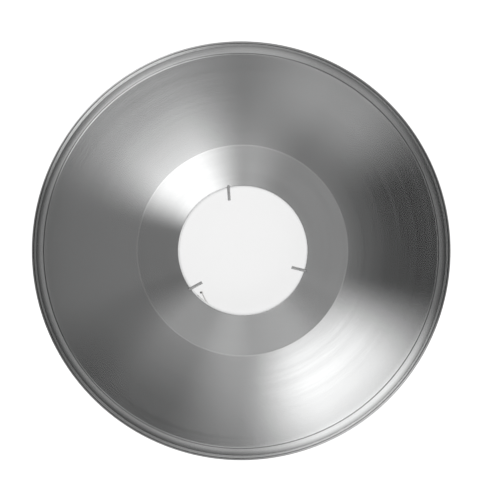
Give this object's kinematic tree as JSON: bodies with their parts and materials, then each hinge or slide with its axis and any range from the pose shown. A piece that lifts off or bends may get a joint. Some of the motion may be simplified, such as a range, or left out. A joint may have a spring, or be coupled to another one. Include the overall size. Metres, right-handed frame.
{
  "type": "flash reflector dish",
  "caption": "Wide spun aluminium flash reflector with a rolled rim, shallow back cone and pinned bayonet collar.",
  "frame": {"origin": "centre of the mounting collar's rear face, which the reflector stands on", "axes": "+Z along the optical axis towards the mouth; +Y is up in the view into the mouth, +X to its right"},
  "size_m": [0.292, 0.292, 0.0942],
  "materials": {
    "spun_aluminium": "fine circumferential satin from spinning",
    "machined_aluminium": "turned satin",
    "pin_steel": "bright ground rod",
    "zinc_steel": "zinc plated",
    "spring_steel": "rolled satin"
  },
  "bodies": {
    "reflector": {"reflector_dish": "spun_aluminium", "mounting_collar": "machined_aluminium", "bayonet_pin_1": "pin_steel", "bayonet_pin_2": "pin_steel", "bayonet_pin_3": "pin_steel", "pin_nut_1": "zinc_steel", "pin_nut_2": "zinc_steel", "pin_nut_3": "zinc_steel", "clamp_screw_1": "zinc_steel", "clamp_screw_2": "zinc_steel", "clamp_screw_3": "zinc_steel", "clamp_screw_4": "zinc_steel", "clamp_screw_5": "zinc_steel", "clamp_screw_6": "zinc_steel", "spring_screw_1": "zinc_steel", "spring_screw_2": "zinc_steel"},
    "detent": {"detent_spring": "spring_steel"}
  },
  "joints": [
    {"name": "detent_flex", "type": "hinge", "parent": "reflector", "child": "detent", "pos_m": [-0.01664, -0.05032, 0.0057], "axis": [0, 0, 1], "range_deg": [0, 5], "stiffness_Nm_per_rad": 0.5}
  ]
}
